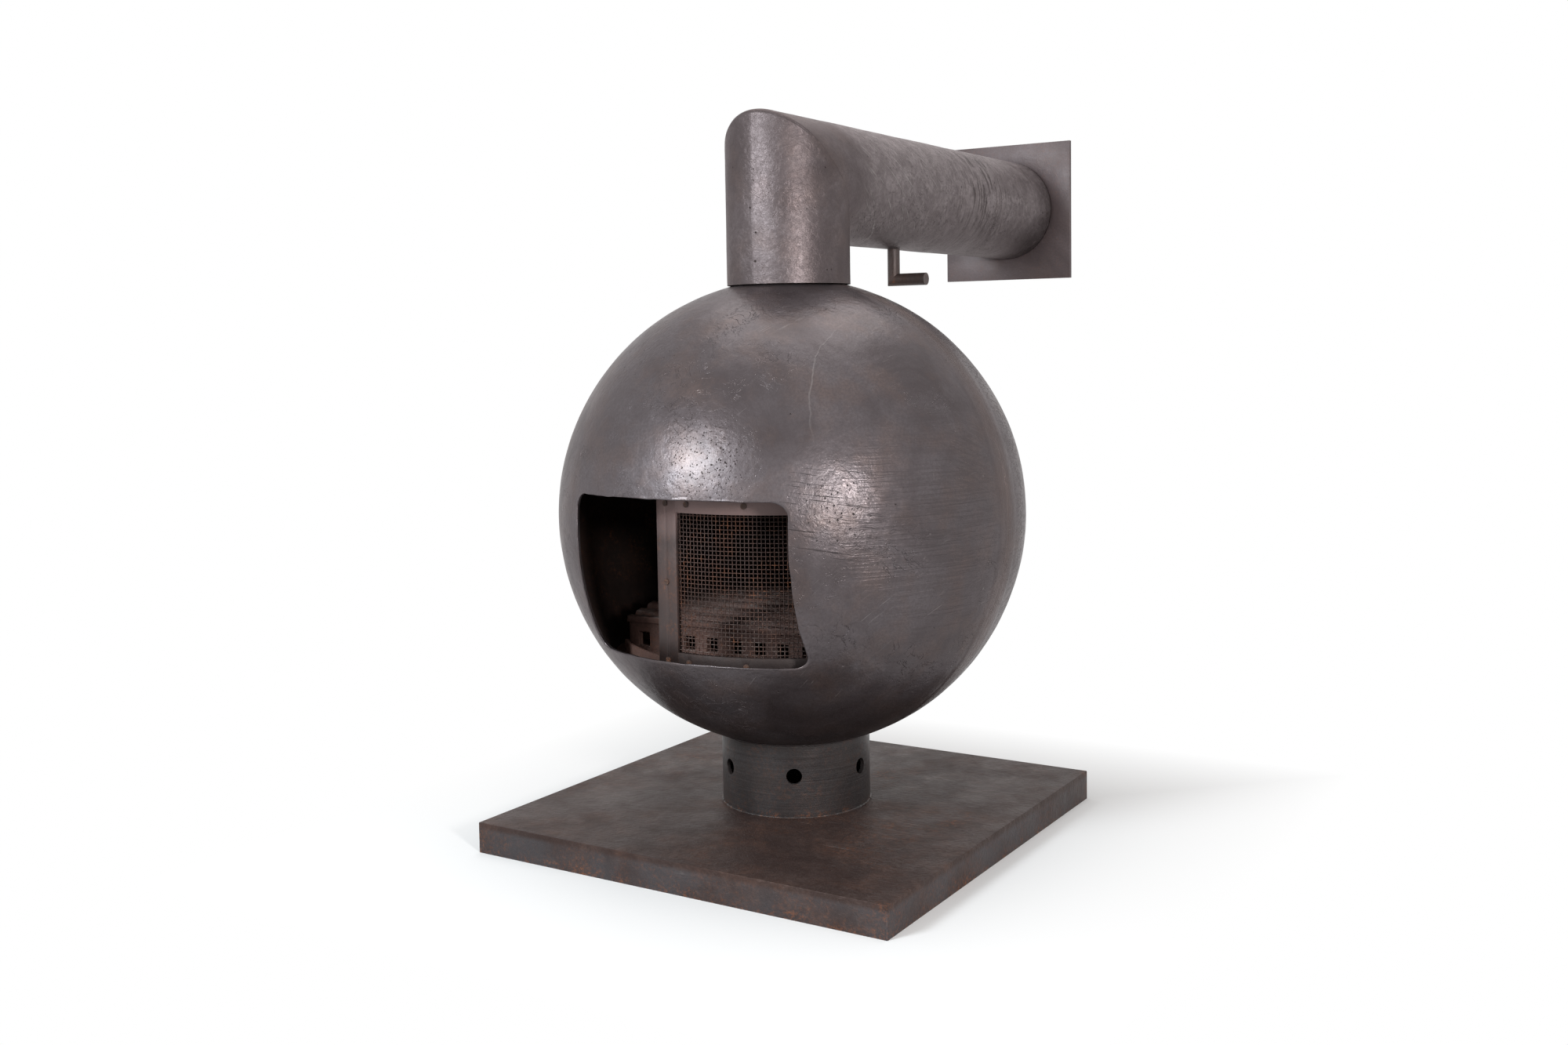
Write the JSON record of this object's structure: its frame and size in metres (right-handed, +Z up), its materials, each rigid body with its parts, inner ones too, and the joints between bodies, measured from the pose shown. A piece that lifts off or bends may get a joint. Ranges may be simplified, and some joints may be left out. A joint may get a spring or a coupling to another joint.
{
  "type": "ball fireplace",
  "caption": "Steel ball fireplace on a square hearth slab, with a sliding curved fire screen, a basket grate and a mitred flue with a damper to a wall plate.",
  "frame": {"origin": "centre of the hearth slab's underside, on the floor, under the ball's upright axis", "axes": "+Z up, -Y out of the fire mouth, +Y along the flue to the wall, +X to the right of someone facing the wall from the front"},
  "size_m": [0.7498, 1.2404, 1.1882],
  "materials": {
    "hearth_steel": "dark waxed steel with rust speckle along the lower edges",
    "ball_steel": "dark waxed steel, ground and pitted",
    "collar_steel": "dark waxed steel",
    "flue_steel": "dark waxed steel with streaked highlights",
    "plate_steel": "dark satin steel",
    "sooted_steel": "sooted steel",
    "fire_rope": "twisted glass fibre rope",
    "mesh_wire": "woven steel wire with brown rust",
    "screen_steel": "worn flat bar, pinkish brown grey",
    "screw_steel": "rusty slotted screws",
    "firebox_steel": "burnt brown steel",
    "grate_iron": "burnt cast iron",
    "damper_rod": "dark round bar with rust at the weld"
  },
  "bodies": {
    "stove": {"damper_lower_bush": "sooted_steel", "damper_upper_bush": "sooted_steel", "fire_bar_1": "grate_iron", "fire_bar_2": "grate_iron", "fire_bar_3": "grate_iron", "fire_bar_4": "grate_iron", "fire_bar_5": "grate_iron", "fire_bar_6": "grate_iron", "fire_bar_7": "grate_iron", "fire_bar_8": "grate_iron", "fire_bar_9": "grate_iron", "fire_floor": "firebox_steel", "flue_riser": "flue_steel", "flue_run": "flue_steel", "flue_seal": "fire_rope", "flue_spigot": "sooted_steel", "front_hemisphere": "ball_steel", "grate_frame": "grate_iron", "guide_bracket_left": "firebox_steel", "guide_bracket_middle": "firebox_steel", "guide_bracket_right": "firebox_steel", "hearth_rib_left": "hearth_steel", "hearth_rib_middle": "hearth_steel", "hearth_rib_right": "hearth_steel", "hearth_skirt_back": "hearth_steel", "hearth_skirt_front": "hearth_steel", "hearth_skirt_left": "hearth_steel", "hearth_skirt_right": "hearth_steel", "hearth_top_plate": "hearth_steel", "pedestal_collar": "collar_steel", "rear_hemisphere": "ball_steel", "screen_guide": "firebox_steel", "screen_stop_left": "firebox_steel", "screen_stop_right": "firebox_steel", "screen_track": "firebox_steel", "wall_plate": "plate_steel", "wall_thimble": "sooted_steel"},
    "screen": {"screen_left_stile": "screen_steel", "screen_right_stile": "screen_steel", "screen_top_rail": "screen_steel", "screen_bottom_rail": "screen_steel", "mesh_strip_left": "screen_steel", "mesh_strip_right": "screen_steel", "mesh_strip_top": "screen_steel", "mesh_strip_bottom": "screen_steel", "mesh_uprights": "mesh_wire", "mesh_hoops": "mesh_wire", "screen_screws": "screw_steel", "screen_shoe_left": "screen_steel", "screen_shoe_right": "screen_steel"},
    "damper": {"damper_spindle": "damper_rod", "damper_handle": "damper_rod", "damper_disc": "sooted_steel", "damper_retainer": "sooted_steel", "damper_bolts": "sooted_steel"}
  },
  "joints": [
    {"name": "screen_turn", "type": "hinge", "parent": "stove", "child": "screen", "pos_m": [0, 0, 0.5181], "axis": [0, 0, 1], "range_deg": [-29.5, 58]},
    {"name": "damper_turn", "type": "hinge", "parent": "stove", "child": "damper", "pos_m": [0, 0.359, 1.0532], "axis": [0, 0, 1], "range_deg": [-90, 0]}
  ]
}
